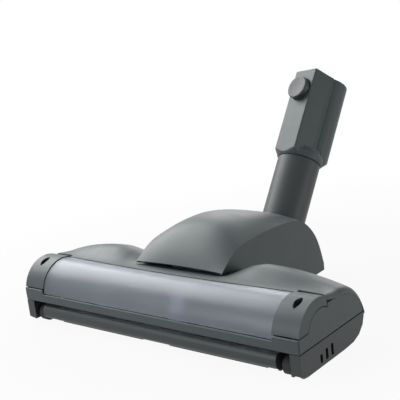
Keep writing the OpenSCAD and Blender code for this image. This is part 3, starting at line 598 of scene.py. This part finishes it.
def button_cap():
    """The release button turned about its own axis: a slightly dished face, a 1.2 mm edge round, a straight
    wall and a hollow for the spring."""
    a = np.linspace(0, math.pi / 2, 7)
    face_y, r, edge_r, hollow_r, around = 28.0, BUTTON_R, 1.2, 6, 96
    profile = [(0.001, face_y - 0.5), (4, face_y - 0.45), (8, face_y - 0.15), (9.4, face_y)]
    profile += [(r - edge_r + edge_r * math.sin(t), face_y - edge_r + edge_r * math.cos(t)) for t in a]
    profile += [(r, 24), (r, 20.5), (r - 0.3, 20.2), (hollow_r + 0.1, 20.2), (hollow_r, 20.4),
                (hollow_r, 24.6), (0.001, 24.6)]
    reach, depth = np.array(profile).T
    t = np.linspace(0, 2 * math.pi, around, endpoint=False)[:, None]
    points = np.stack([reach * np.cos(t), -depth + 0 * t, BUTTON_S + reach * np.sin(t)], -1)
    faces = grid_faces(around + 1, len(profile)) % (around * len(profile))
    cap = outward(make_mesh("release_button_cap", on_connector(points), faces))
    add_modifier(cap, "NODES", node_group=SMOOTHING)
    return cap


def press_spring(turns=6.0, coil_r=4.4, wire_r=0.55, low=16.2, high=23.9):
    """The spring of the button: a round wire whose middle line turns on a circle while it climbs evenly from
    the floor of the pocket to the hollow of the button."""
    t = np.linspace(0, 2 * math.pi * turns, int(40 * turns) + 1)[:, None]
    a = np.linspace(0, 2 * math.pi, 10, endpoint=False)[None, :]
    reach = coil_r + wire_r * np.cos(a)
    out_of_pocket = low + (high - low) * t / t[-1] + wire_r * np.sin(a)
    points = np.stack([reach * np.cos(t), -out_of_pocket, BUTTON_S + reach * np.sin(t)], -1)
    rows, cols = points.shape[:2]
    ends = [tuple(range(cols)), tuple(range(rows * cols - 1, (rows - 1) * cols - 1, -1))]
    faces = list(grid_faces(rows, cols, wrap=True)) + ends
    return outward(make_mesh("press_spring_coil", on_connector(points), faces))


finish_piece(connector_shell(), "wand_connector", "housing_plastic", "connector")
coil = finish_piece(press_spring(), "wand_connector", "steel", "button_spring")
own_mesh(coil)
finish_piece(button_cap(), "button", "dark_plastic", "release_button")


# Bristles

def bristles():
    """Each tuft is a bundle of thin three-sided bristles that lean apart a little towards their tips. Tufts
    stand in two rows that turn round the core by 1.05 degrees a millimetre from the middle outward."""
    rng = np.random.default_rng(7)
    twist, count, bristle_r = 1.05, 34, 0.16
    xs = 30.5 + 79.5 * np.arange(14) / 13
    places = [(s * x, r * 180 + x * twist) for r in (0, 1) for s in (-1, 1) for x in xs]
    places += [(x, r * 180 + abs(x) * twist) for r in (0, 1) for x in (-22, -13, -4, 5)]
    a = np.arange(3) * 2 * math.pi / 3
    ring = bristle_r * np.stack([np.cos(a), np.sin(a)], -1)[None]
    points = []
    for x, angle in places:
        root = rng.uniform([-1.5, -1.0], [1.5, 1.0], (count, 2))
        lean = root * rng.uniform(0.5, 1.1, (count, 1)) + rng.normal(0, 0.35, (count, 2))
        tip_h = TIP_R - 0.2 - rng.uniform(0, 0.8, (count, 1))
        low = np.concatenate([root[:, None] + ring, np.full((count, 3, 1), CORE_R - 2.5)], -1)
        high = np.concatenate([(root + lean)[:, None] + ring * 0.7, np.repeat(tip_h[:, None], 3, 1)], -1)
        along, across, up = np.stack([low, high], 1).reshape(-1, 3).T
        c, s = math.cos(math.radians(angle)), math.sin(math.radians(angle))
        points.append(np.column_stack([x + along, BRUSH_Y + across * c - up * s,
                                       BRUSH_Z + across * s + up * c]))
    sides = [(0, 1, 4, 3), (1, 2, 5, 4), (2, 0, 3, 5), (2, 1, 0), (3, 4, 5)]
    faces = [tuple(k + i for i in side) for k in range(0, 6 * count * len(places), 6) for side in sides]
    return make_mesh("bristle_bundles", np.concatenate(points), faces)


finish_piece(bristles(), "brush", "bristle", "bristle_tufts")


# Floor, light and camera

def backdrop():
    """A pale floor that takes a faint shadow near the head and turns white to the camera farther out."""
    half = 14.0
    mesh = bpy.data.meshes.new("floor")
    corners = [(-half, -half, 0), (half, -half, 0), (half, half, 0), (-half, half, 0)]
    mesh.from_pydata(corners, [], [(0, 1, 2, 3)])
    floor = bpy.data.objects.new("floor", mesh)
    bpy.context.scene.collection.objects.link(floor)
    mat, tree, shader, coords = node_material("pale_floor")
    shader.inputs["Base Color"].default_value = (0.42, 0.42, 0.42, 1)
    shader.inputs["Roughness"].default_value = 0.9
    shader.inputs["Specular IOR Level"].default_value = 0.0
    away = tree.nodes.new("ShaderNodeVectorMath")
    away.operation = "LENGTH"
    tree.links.new(coords.outputs["Object"], away.inputs[0])
    whiteness = map_range(tree, away.outputs["Value"], 0.93, 1.0, 0.18, 0.42)
    path = tree.nodes.new("ShaderNodeLightPath")
    seen = math_node(tree, "MULTIPLY", path.outputs["Is Camera Ray"], whiteness)
    glow = tree.nodes.new("ShaderNodeEmission")
    mix = tree.nodes.new("ShaderNodeMixShader")
    share = math_node(tree, "MULTIPLY_ADD", path.outputs["Is Glossy Ray"], 0.85, seen)
    tree.links.new(share, mix.inputs[0])
    tree.links.new(shader.outputs[0], mix.inputs[1])
    tree.links.new(glow.outputs[0], mix.inputs[2])
    tree.links.new(mix.outputs[0], tree.nodes["Material Output"].inputs["Surface"])
    mesh.materials.append(mat)


def world_light(level=0.06, gloss=0.85):
    """A dim even sky, which is white to the camera and through clear pieces and nearly so to gloss."""
    world = bpy.data.worlds.new("studio")
    bpy.context.scene.world = world
    world.use_nodes = True
    tree = world.node_tree
    sky = tree.nodes["Background"]
    sky.inputs["Color"].default_value = (1, 1, 1, 1)
    path = tree.nodes.new("ShaderNodeLightPath")
    seen = math_node(tree, "MAXIMUM", path.outputs["Is Camera Ray"], path.outputs["Is Transmission Ray"])
    shine = math_node(tree, "MULTIPLY", path.outputs["Is Glossy Ray"], gloss)
    white = math_node(tree, "MAXIMUM", seen, shine)
    tree.links.new(map_range(tree, white, level, 1.0), sky.inputs["Strength"])


def softbox(name, place, target, size, power):
    """A rectangular soft lamp at a place, turned to a target, all in metres of the frame."""
    data = bpy.data.lights.new(name, "AREA")
    data.shape = "RECTANGLE"
    data.size, data.size_y = size
    data.energy = power
    lamp = bpy.data.objects.new(name, data)
    bpy.context.scene.collection.objects.link(lamp)
    lamp.location = place
    lamp.rotation_euler = (Vector(target) - Vector(place)).to_track_quat("-Z", "Y").to_euler()


backdrop()
world_light()
softbox("key_lamp", (-1.05, 0.05, 0.95), (0, 0, 0.06), (1.2, 1.1), 22)
softbox("back_lamp", (-0.50, 1.25, 0.70), (0, 0, 0.05), (1.2, 0.8), 9)
softbox("front_lamp", (-0.30, -1.20, 0.45), (0, -0.1, 0.03), (0.8, 0.5), 5)
softbox("side_lamp", (0.90, 0.25, 0.09), (0.1, 0, 0.04), (0.8, 0.14), 1.1)

# The photograph's camera, fitted to it: place in mm, angles in degrees, focal length in the photo's pixels.
CAMERA_MM = (458.98, -450.73 + Y_SHIFT, 271.57)
AZIMUTH, ELEVATION, ROLL, FOCAL = 40.81, 14.01, -6.89, 894.36
PHOTO_PX, SENSOR_MM = 400, 36


def photo_camera():
    """Looks along the azimuth and down by the elevation, then rolls about the line of sight."""
    az, el, ro = (math.radians(v) for v in (AZIMUTH, ELEVATION, ROLL))
    look = Vector((-math.sin(az) * math.cos(el), math.cos(az) * math.cos(el), -math.sin(el)))
    right = Vector((math.cos(az), math.sin(az), 0))
    up = right.cross(look)
    right, up = right * math.cos(ro) + up * math.sin(ro), up * math.cos(ro) - right * math.sin(ro)
    data = bpy.data.cameras.new("photo_camera")
    data.sensor_width = SENSOR_MM
    data.lens = FOCAL / PHOTO_PX * SENSOR_MM
    data.clip_start = 0.01
    cam = bpy.data.objects.new("photo_camera", data)
    bpy.context.scene.collection.objects.link(cam)
    place = Matrix((right, up, -look)).transposed().to_4x4()
    place.translation = Vector(CAMERA_MM) * MM
    cam.matrix_world = place
    bpy.context.scene.camera = cam


photo_camera()
bpy.context.scene.view_settings.view_transform = "Standard"
